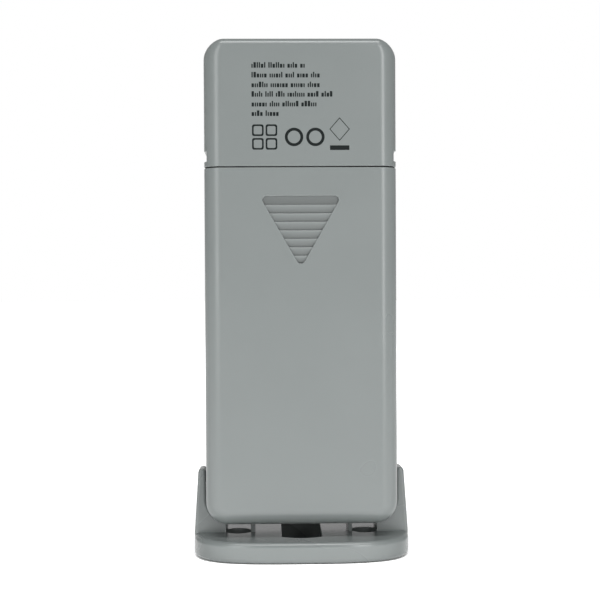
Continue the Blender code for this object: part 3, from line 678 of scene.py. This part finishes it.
def cut_at_seam(shell, above):
    """Keeps the shell above or below the seam, with the outer edge of the cut rounded."""
    if above:
        slab = level_slab(SEAM_Z + SEAM_GAP / 2, CASE_TOP + 5)
    else:
        slab = level_slab(CASE_BOTTOM - 5, SEAM_Z - SEAM_GAP / 2)
    return solved(shell, ("INTERSECT", [slab]), bevel=EDGE_ROUND)


def build_rear_case():
    shell = cut_at_seam(case_shell(CASE_REAR, PARTING_Y, REAR_FILLETS), above=True)
    lip = solved(locating_lip(), ("INTERSECT", [level_slab(PARTITION_Z[0] + 0.4, CASE_TOP + 5)]))
    deck = solved(deck_plate(), ("INTERSECT", [level_slab(0, PARTITION_Z[1] - 0.4)]))
    rear_wall = CASE_REAR + CASE_WALL
    boss = [(rear_wall - 0.5, BOSS_RADIUS + BOSS_FLARE), (BOARD_LOW.y - 0.15, BOSS_RADIUS)]
    pilot = [(BOARD_LOW.y - 9, SCREW_HOLE), (BOARD_LOW.y + 1, SCREW_HOLE)]
    through = (DECK_Y[0] - 1, DECK_Y[1] + 1)
    cutters = wall_clip_grooves() + [battery_well(inner=True)] + hook_notches()
    cutters += [turned(pilot, at) for at in BOARD_SCREWS]
    cutters += [turned([(y, SCREW_HOLE) for y in through], at) for at in CASE_SCREWS]
    cutters.append(turned([(y, TX_HOLE) for y in through], (TX_X, SWITCH_Z)))
    slot_half_length = CHANNEL_STEP + CHANNEL_SLOT_END
    slot = stadium((CHANNEL_X, SWITCH_Z), slot_half_length, CHANNEL_SLOT_HALF_HEIGHT)
    cutters.append(prism(slot, "Y", *through))
    for x in (-CELL_X, CELL_X):
        across = (x - CONTACT_SLOT_HALF_WIDTH, x + CONTACT_SLOT_HALF_WIDTH)
        cutters.append(box(across, CONTACT_SLOT_Y, (WELL_Z[1] - 1, WELL_Z[1] + 2)))
    added = [lip, prism(partition_outline(), "Z", *PARTITION_Z), deck, battery_well(inner=False)]
    added += [turned(boss, at) for at in BOARD_SCREWS]
    made = solved(shell, ("UNION", added), ("DIFFERENCE", cutters))
    piece("rear_case_moulding", made, CASE_PLASTIC, "transmitter", replaced=["rear_case"])


# ---- battery cover ------------------------------------------------------------------------

def grip_outline(growth):
    """The thumb grip's outline: a triangle that points down, with rounded corners, grown outwards."""
    tip_z = GRIP_TOP_Z - GRIP_HEIGHT
    corners = [Vector((GRIP_HALF_WIDTH, GRIP_TOP_Z)), Vector((-GRIP_HALF_WIDTH, GRIP_TOP_Z)),
               Vector((0, tip_z))]
    points = []
    for i, corner in enumerate(corners):
        into = (corners[i - 1] - corner).normalized()
        out = (corners[(i + 1) % 3] - corner).normalized()
        half_angle = into.angle(out) / 2
        centre = corner + (into + out).normalized() * GRIP_CORNER / math.sin(half_angle)
        start = corner + into * GRIP_CORNER / math.tan(half_angle) - centre
        end = corner + out * GRIP_CORNER / math.tan(half_angle) - centre
        first = math.degrees(math.atan2(start.y, start.x))
        sweep = (math.degrees(math.atan2(end.y, end.x)) - first + 180) % 360 - 180
        points += arc(centre, GRIP_CORNER + growth, first, first + sweep, 12)
    return points


def grip_teeth():
    """The saw-toothed floor of the grip, in Y and Z, drawn out along X; each tooth's lip is rounded."""
    shallow, deep = CASE_REAR + GRIP_SHALLOW, CASE_REAR + GRIP_DEEP
    profile = [(CASE_REAR - 2, GRIP_TOP_Z + 2), (shallow, GRIP_TOP_Z + 2)]
    for band in range(GRIP_BANDS):
        top = GRIP_TOP_Z - band * GRIP_PITCH
        if band:
            profile += arc((shallow + TOOTH_ROUND, top - TOOTH_ROUND), TOOTH_ROUND, 90, 180, 6)
        profile.append((deep, top - GRIP_PITCH))
    profile.append((deep, GRIP_TOP_Z - GRIP_HEIGHT - 2))
    profile.append((CASE_REAR - 2, GRIP_TOP_Z - GRIP_HEIGHT - 2))
    return prism(profile, "X", -GRIP_HALF_WIDTH - 2, GRIP_HALF_WIDTH + 2)


def grip_cutter():
    walls = layered(grip_outline, "Y", flare(CASE_REAR, 1, GRIP_RIM) + [(CASE_REAR + 1.2, 0.0)])
    return solved(walls, ("INTERSECT", [grip_teeth()]))


def cover_hook(side, z):
    behind = DECK_Y[1] + FIT
    outline = [(-8.5, z), (behind + 1, z), (behind + 1, z + HOOK_LENGTH + HOOK_REACH),
               (behind, z + HOOK_LENGTH + HOOK_REACH), (behind, z + HOOK_LENGTH), (-8.5, z + HOOK_LENGTH)]
    return prism(outline, "X", *sorted(side * x for x in HOOK_X))


def build_battery_cover():
    shell = cut_at_seam(case_shell(CASE_REAR, PARTING_Y, REAR_FILLETS), above=False)
    inner_face = CASE_REAR + CASE_WALL
    top = SEAM_Z - SEAM_GAP / 2
    tongue = [(inner_face - 0.5, top - 4), (inner_face - 0.5, top - 1), (inner_face + FIT, top - 1),
              (inner_face + FIT, top + HOOK_REACH), (inner_face + FIT + TONGUE_THICK, top + HOOK_REACH),
              (inner_face + FIT + TONGUE_THICK, top - 4)]
    added = [prism(tongue, "X", -TONGUE_HALF_WIDTH, TONGUE_HALF_WIDTH)]
    for side in (-1, 1):
        for z in COVER_HOOK_Z:
            added.append(cover_hook(side, z))
            root = sorted((side * (HOOK_X[0] + 0.3), side * 19.0))
            added.append(box(root, (-8.2, PARTING_Y - FIT), (z + 0.3, z + HOOK_LENGTH - 0.3)))
    made = solved(shell, ("UNION", added), ("DIFFERENCE", [grip_cutter()]))
    piece("battery_cover_moulding", made, COVER_PLASTIC, "cover", replaced=["battery_cover"])


# ---- stand --------------------------------------------------------------------------------

def oval(z, inset, steps=192):
    """The base's outline: a squared-off oval, set in by this much."""
    a, b = BASE_HALF_X - inset, BASE_HALF_Y - inset
    points = []
    for i in range(steps):
        angle = math.tau * (i + 0.5) / steps
        c, s = math.cos(angle), math.sin(angle)
        points.append((math.copysign(a * abs(c) ** (2 / BASE_POWER), c),
                       math.copysign(b * abs(s) ** (2 / BASE_POWER), s), z))
    return points


def base_slab():
    rings = []
    turns = [math.radians(90 * i / 8) for i in range(9)]
    for turn in turns:
        rise = BASE_FOOT_FILLET * (1 - math.cos(turn))
        rings.append(oval(rise, BASE_FOOT_FILLET * (1 - math.sin(turn))))
    for turn in reversed(turns):
        drop = BASE_TOP_FILLET * (1 - math.cos(turn))
        rings.append(oval(BASE_TOP - drop, BASE_TOP_FILLET * (1 - math.sin(turn))))
    return loft(rings)


def base_side(y):
    """How far out the base's side is at this place along Y."""
    return BASE_HALF_X * (1 - (abs(y) / BASE_HALF_Y) ** BASE_POWER) ** (1 / BASE_POWER)


def arm_outline(side, y):
    """One arm and its gusset in X and Z: they follow the case's side and bottom corner."""
    inset = rolled(ARM_HALF_DEPTH - abs(y), ARM_EDGE_ROUND)
    centre = (CASE_HALF_WIDTH - BOTTOM_CORNER, CASE_BOTTOM + BOTTOM_CORNER)
    radius = BOTTOM_CORNER + CRADLE_GAP + inset
    first = math.degrees(math.asin((GUSSET_INNER + inset - centre[0]) / radius)) - 90
    root = BASE_TOP - 1.2
    outer = base_side(y) - ARM_HAIR - inset
    tip_x = base_side(y) - ARM_HAIR - ARM_DRAFT
    points = [(GUSSET_INNER + inset, root)]
    points += arc(centre, radius, first, 0, 24)
    points += arc((ARM_INNER + ARM_LIP, ARM_TOP - ARM_LIP), ARM_LIP - inset, 180, 90, 6)
    points += arc((tip_x - ARM_CORNER, ARM_TOP - ARM_CORNER), ARM_CORNER - inset, 90, 3, 10)
    points += [(outer, BASE_TOP), (outer, root)]
    return [(side * x, z) for x, z in points]


def arm(side):
    """An arm, less deep at its tip, whose outer face carries on the curve of the base's own side."""
    turns = [math.radians(90 * i / 6) for i in range(7)]
    ends = [ARM_HALF_DEPTH - ARM_EDGE_ROUND * math.sin(turn) for turn in reversed(turns)]
    middle = [ends[0] * i / 4 for i in range(-3, 4)]
    places = [-y for y in reversed(ends)] + middle + ends
    mesh = loft([[placed(pair, "Y", y) for pair in arm_outline(side, y)] for y in places])
    for vert in mesh.verts:
        vert.co.y *= 1 - ARM_TAPER * (vert.co.z - BASE_TOP) / (ARM_TOP - BASE_TOP)
    return mesh


def slot_outline(reach):
    """The base's middle slot in plan, with bowed ends, grown by reach on every side."""
    half, corner, end = SLOT_HALF_WIDTH + reach, SLOT_CORNER_Y + reach, SLOT_END_Y + reach
    rise = end - corner
    radius = (half ** 2 + rise ** 2) / (2 * rise)
    sweep = math.degrees(math.asin(half / radius))
    return (arc((0, end - radius), radius, 90 - sweep, 90 + sweep, 16)
            + arc((0, radius - end), radius, 270 - sweep, 270 + sweep, 16))


def through_base(outline_at):
    """A cutter right through the base, with rounded edges above and below."""
    above = flare(BASE_TOP, -1, HOLE_ROUND)
    below = flare(0.0, 1, HOLE_ROUND)
    return layered(outline_at, "Z", below + above[::-1])


def nub(side):
    """The snap nub inside an arm's tip: long slope below, short slope above."""
    outline = [(ARM_INNER + 1, NUB_Z - 1.4), (ARM_INNER, NUB_Z - 1.4),
               (ARM_INNER - NUB_CREST, NUB_Z - 0.5), (ARM_INNER - NUB_REACH, NUB_Z - 0.1),
               (ARM_INNER - NUB_CREST, NUB_Z + 0.2), (ARM_INNER, NUB_Z + 0.85),
               (ARM_INNER + 1, NUB_Z + 0.85)]
    return prism([(side * x, z) for x, z in outline], "Y", -NUB_HALF_DEPTH, NUB_HALF_DEPTH)


def build_stand():
    hollow = loft([oval(z, BASE_WALL + 0.9) for z in (-1, BASE_TOP - BASE_FLOOR)])
    root = BASE_TOP - BASE_FLOOR + 0.5
    added = [prism(slot_outline(SLOT_WALL), "Z", 0.01, root)]
    for side in (-1, 1):
        boss_radius = FIXING_RADIUS + FIXING_WALL
        boss = [(0.02, boss_radius), (root + 0.1, boss_radius + 0.1)]
        added.append(turned(boss, (side * FIXING_X, FIXING_Y), "Z"))
        web = sorted((side * (SLOT_HALF_WIDTH + 0.8), side * (FIXING_X - 3)))
        added.append(box(web, (-WEB_HALF_DEPTH, WEB_HALF_DEPTH), (0.03, root + 0.2)))
        added.append(arm(side))
        low_x = min(side * x for x in RIB_X)
        rib = rounded_bar(low_x, -ARM_HALF_DEPTH, RIB_X[1] - RIB_X[0], 2 * ARM_HALF_DEPTH, RIB_ROUND)
        added.append(prism(rib, "Z", BASE_TOP - 1, CASE_BOTTOM - FIT))
        added.append(nub(side))
    holes = [through_base(slot_outline)]
    for side in (-1, 1):
        middle = (side * FIXING_X, FIXING_Y)
        holes.append(through_base(lambda reach, at=middle: circle(at, FIXING_RADIUS + reach)))
    made = solved(base_slab(), ("DIFFERENCE", [hollow]), ("UNION", added), ("DIFFERENCE", holes))
    piece("stand_moulding", made, STAND_PLASTIC, "stand", replaced=["stand"])


# ---- printing -----------------------------------------------------------------------------

PRINT_LEFT = -10.0
PRINT_LINES = [(102.1, 11.1), (100.1, 14.4), (98.1, 14.4), (96.15, 16.8), (94.15, 13.8), (92.2, 5.9)]
PRINT_THICK = 0.012
CAP_HEIGHT = 1.15
LOW_HEIGHT = 0.8
STROKES = (0.27, 0.27, 0.50)
STROKE_GAP = 0.16
WORD_GAP = 0.45
WORD_LENGTHS = (4, 8)
SQUARES = [(-8.75, 88.7), (-5.95, 88.7), (-8.75, 85.9), (-5.95, 85.9)]
RINGS = [(-1.3, 87.3), (3.1, 87.3)]
DIAMOND = (8.1, 88.9)


def print_pad(outlines):
    """Flat ink shapes on the back of the case, joined into one mesh of closed pads."""
    mesh = bmesh.new()
    for outline in outlines:
        shape = prism(outline, "Y", CASE_REAR - PRINT_THICK, CASE_REAR + PRINT_THICK)
        data = bpy.data.meshes.new("pad")
        shape.to_mesh(data)
        shape.free()
        mesh.from_mesh(data)
        bpy.data.meshes.remove(data)
    return mesh


def placeholder_words(chance, middle_z, length):
    """A line of plain strokes that only shows where printing is: groups of bars of mixed height."""
    outlines = []
    x, end = PRINT_LEFT, PRINT_LEFT + length
    foot = middle_z - CAP_HEIGHT / 2
    left_in_group = chance.randint(*WORD_LENGTHS)
    while x < end - 0.3:
        width = chance.choice(STROKES)
        tall = chance.choice((CAP_HEIGHT, LOW_HEIGHT, LOW_HEIGHT, LOW_HEIGHT))
        outlines.append(rounded_bar(x, foot, min(width, end - x), tall, 0.08))
        left_in_group -= 1
        x += width + STROKE_GAP
        if left_in_group == 0:
            x += WORD_GAP
            left_in_group = chance.randint(*WORD_LENGTHS)
    return outlines


def ring_pad(centre, outer, inner, outline=circle):
    """A flat closed ring of ink."""
    rows = []
    for y in (CASE_REAR - PRINT_THICK, CASE_REAR + PRINT_THICK):
        rows.append([placed(pair, "Y", y) for pair in outline(centre, outer)])
        rows.append([placed(pair, "Y", y) for pair in outline(centre, inner)])
    return loft([rows[0], rows[2], rows[3], rows[1]], capped=False)


def square(centre, half):
    return rounded_bar(centre[0] - half, centre[1] - half, 2 * half, 2 * half, half * 0.35)


def diamond(centre, half):
    x, z = centre
    tall = 1.15 * half
    return [(x + half, z), (x, z + tall), (x - half, z), (x, z - tall)]


def build_printing():
    ink = printing_ink()
    chance = random.Random(7)
    marks = {}
    for number, (middle, length) in enumerate(PRINT_LINES, 1):
        marks[f"print_line_{number}"] = print_pad(placeholder_words(chance, middle, length))
    for number, centre in enumerate(SQUARES, 1):
        marks[f"print_square_{number}"] = ring_pad(centre, 1.2, 0.85, square)
    for number, centre in enumerate(RINGS, 1):
        marks[f"print_ring_{number}"] = ring_pad(centre, 1.9, 1.3)
    marks["print_diamond"] = ring_pad(DIAMOND, 2.1, 1.9, diamond)
    marks["print_bar"] = print_pad([rounded_bar(6.1, 84.6, 4.0, 0.95, 0.05)])
    for name, mesh in marks.items():
        piece(name, mesh, ink, "transmitter")


# ---- CAD nodes that stay ------------------------------------------------------------------

def uneven_gloss(material, low, high):
    """Drifts a clear plastic's roughness a little."""
    tree = material.node_tree
    place = node(tree, "ShaderNodeTexCoord")
    varied_roughness(tree, tree.nodes["Principled BSDF"], place, low, high, 800.0)


def finish_inner_nodes():
    """Gives every CAD node that stays visible its own material."""
    black = moulded_plastic("black_moulding", (0.018, 0.018, 0.019), (0.42, 0.55), spread=0.1)
    white = moulded_plastic("white_moulding", (0.74, 0.74, 0.70), (0.35, 0.45))
    steel = metal("zinc_plated_steel", (0.66, 0.67, 0.68), (0.2, 0.34))
    nickel = metal("nickel_plate", (0.62, 0.59, 0.53), (0.18, 0.30))
    copper = metal("copper_wire", (0.72, 0.36, 0.20), (0.2, 0.32))
    board = solder_mask("solder_mask")
    lens, _, lens_shader = surface("light_guide", (0.86, 0.9, 0.9), 0.08, IOR=1.49)
    lens_shader.inputs["Transmission Weight"].default_value = 0.7
    uneven_gloss(lens, 0.05, 0.12)
    red, _, _ = surface("red_epoxy", (0.5, 0.02, 0.015), 0.12, IOR=1.5)
    uneven_gloss(red, 0.08, 0.18)
    finishes = {
        "circuit_board": board, "radio_module": board,
        "humidity_sensor": white, "tx_button": white, "channel_switch_knob": white,
        "controller_chip": black, "tx_switch_body": black, "channel_switch_body": black,
        "crystal_can": steel, "antenna_coil": copper, "status_led": red, "led_lens": lens,
        "positive_contact": nickel, "negative_contact": nickel, "negative_contact_spring": nickel,
        "bridge_contact": nickel, "bridge_contact_spring": nickel,
    }
    for name, plus_up in (("battery_cell_left", True), ("battery_cell_right", False)):
        low, high = node_box(name)
        finishes[name] = cell_jacket(f"jacket_{name}", low.z, high.z, plus_up)
    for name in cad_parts:
        if "screw" in name:
            finishes[name] = steel
    for name, finish in finishes.items():
        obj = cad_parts[name]
        if not obj.material_slots:
            obj.data.materials.append(finish)
        for material_slot in obj.material_slots:
            material_slot.material = finish


# ---- stage --------------------------------------------------------------------------------

CAMERA_AZIMUTH = -1.3
CAMERA_DISTANCE = 0.2599
CAMERA_HEIGHT = 0.0568
CAMERA_PITCH = -0.71
CAMERA_ROLL = -0.3
CAMERA_LENS = 72.4


def build_camera():
    data = bpy.data.cameras.new("camera")
    data.lens = CAMERA_LENS
    data.sensor_width = 36
    data.clip_start = 0.01
    data.clip_end = 50
    camera = bpy.data.objects.new("camera", data)
    bpy.context.scene.collection.objects.link(camera)
    azimuth = math.radians(CAMERA_AZIMUTH)
    x = math.sin(azimuth) * CAMERA_DISTANCE
    y = -math.cos(azimuth) * CAMERA_DISTANCE
    camera.matrix_world = (
        Matrix.Translation((x, y, CAMERA_HEIGHT))
        @ Matrix.Rotation(azimuth, 4, "Z")
        @ Matrix.Rotation(math.radians(90 + CAMERA_PITCH), 4, "X")
        @ Matrix.Rotation(math.radians(CAMERA_ROLL), 4, "Z"))
    bpy.context.scene.camera = camera


LIGHT_TARGET = Vector((0, 0, 0.055))
LIGHT_DISTANCE = 0.9
# Each softbox: name, azimuth and elevation in degrees, width and height in metres, power in watts.
SOFTBOXES = [
    ("left_strip", -29, 14, 0.32, 0.80, 3.5),
    ("right_strip", 25, 14, 0.19, 0.80, 4.4),
    ("overhead_softbox", 0, 68, 0.80, 0.25, 7.2),
    ("rear_low_softbox", 180, 6, 1.00, 0.20, 0.4),
]


def build_lights():
    for name, azimuth, elevation, width, height, power in SOFTBOXES:
        data = bpy.data.lights.new(name, "AREA")
        data.shape = "RECTANGLE"
        data.size = width
        data.size_y = height
        data.energy = power
        light = bpy.data.objects.new(name, data)
        bpy.context.scene.collection.objects.link(light)
        around, up = math.radians(azimuth), math.radians(elevation)
        flat = math.cos(up)
        away = Vector((math.sin(around) * flat, -math.cos(around) * flat, math.sin(up)))
        light.location = LIGHT_TARGET + away * LIGHT_DISTANCE
        light.rotation_euler = (-away).to_track_quat("-Z", "Y").to_euler()


WORLD_LIGHT = 0.34
# The floor's glow just in front of the object, further off to the front, behind it, and far away.
GLOW_NEAR = 1.5
GLOW_FRONT = 0.15
GLOW_BEHIND = 0.4
GLOW_FAR = 0.8
# Where each change of glow starts and ends, in metres along Y, and outwards from the object.
GLOW_FRONT_Y = (-0.19, -0.08)
GLOW_BEHIND_Y = (-0.020, -0.012)
GLOW_FAR_RADIUS = (0.06, 0.4)
# There is no glow under the base: it starts between these shares of the base's outline.
CONTACT_SHADE = (0.95, 1.02)
FLOOR_HALF = 4.0
FLOOR_DROP = 0.0001


def faded(tree, value, start, end, low, high):
    """A smooth change from low to high while the value goes from start to end."""
    made = node(tree, "ShaderNodeMapRange", interpolation_type="SMOOTHSTEP")
    made.inputs["From Min"].default_value = start
    made.inputs["From Max"].default_value = end
    made.inputs["To Min"].default_value = low
    made.inputs["To Max"].default_value = high
    tree.links.new(value, made.inputs["Value"])
    return made.outputs["Result"]


def calculated(tree, operation, first, second=None):
    """A Math node's result; the second value is a number or another node's output."""
    made = node(tree, "ShaderNodeMath", operation=operation)
    tree.links.new(first, made.inputs[0])
    if isinstance(second, float):
        made.inputs[1].default_value = second
    elif second is not None:
        tree.links.new(second, made.inputs[1])
    return made.outputs["Value"]


def floor_paper():
    """White paper with a glow of its own, which stands in for a large bright studio around it."""
    made, tree, shader = surface("floor_paper", (0.93, 0.93, 0.93), 0.9)
    made.cycles.emission_sampling = "NONE"
    place = node(tree, "ShaderNodeTexCoord").outputs["Object"]
    split = node(tree, "ShaderNodeSeparateXYZ")
    tree.links.new(place, split.inputs["Vector"])
    distance = node(tree, "ShaderNodeVectorMath", operation="LENGTH")
    tree.links.new(place, distance.inputs[0])
    powers = []
    for axis, half in (("X", BASE_HALF_X), ("Y", BASE_HALF_Y)):
        size = calculated(tree, "ABSOLUTE", split.outputs[axis])
        share = calculated(tree, "DIVIDE", size, half * MM)
        powers.append(calculated(tree, "POWER", share, BASE_POWER))
    footprint = calculated(tree, "ADD", *powers)
    clear = faded(tree, footprint, *[edge ** BASE_POWER for edge in CONTACT_SHADE], 0.0, 1.0)
    front = faded(tree, split.outputs["Y"], *GLOW_FRONT_Y, GLOW_FRONT, GLOW_NEAR)
    behind = faded(tree, split.outputs["Y"], *GLOW_BEHIND_Y, 1.0, GLOW_BEHIND / GLOW_NEAR)
    near = calculated(tree, "MULTIPLY", front, behind)
    far = faded(tree, distance.outputs["Value"], *GLOW_FAR_RADIUS, 0.0, GLOW_FAR)
    glow = calculated(tree, "MULTIPLY", calculated(tree, "MAXIMUM", near, far), clear)
    shader.inputs["Emission Color"].default_value = (1, 1, 1, 1)
    tree.links.new(glow, shader.inputs["Emission Strength"])
    return made


def build_floor():
    mesh = bmesh.new()
    bmesh.ops.create_grid(mesh, x_segments=8, y_segments=8, size=FLOOR_HALF)
    data = bpy.data.meshes.new("floor")
    mesh.to_mesh(data)
    mesh.free()
    floor = bpy.data.objects.new("floor", data)
    bpy.context.scene.collection.objects.link(floor)
    floor.location.z = -FLOOR_DROP
    data.materials.append(floor_paper())


def build_world():
    """White where the camera looks at it, and dimmer as a source of light."""
    world = bpy.data.worlds.new("studio")
    world.use_nodes = True
    tree = world.node_tree
    background = tree.nodes["Background"]
    background.inputs["Color"].default_value = (1, 1, 1, 1)
    seen = node(tree, "ShaderNodeLightPath")
    strength = node(tree, "ShaderNodeMapRange")
    strength.inputs["To Min"].default_value = WORLD_LIGHT
    strength.inputs["To Max"].default_value = 1.0
    tree.links.new(seen.outputs["Is Camera Ray"], strength.inputs["Value"])
    tree.links.new(strength.outputs["Result"], background.inputs["Strength"])
    bpy.context.scene.world = world


def main():
    build_camera()
    build_world()
    build_floor()
    build_lights()
    bpy.context.scene.view_settings.view_transform = "Standard"
    build_stand()
    build_front_case()
    build_rear_case()
    build_battery_cover()
    build_printing()
    finish_inner_nodes()


main()
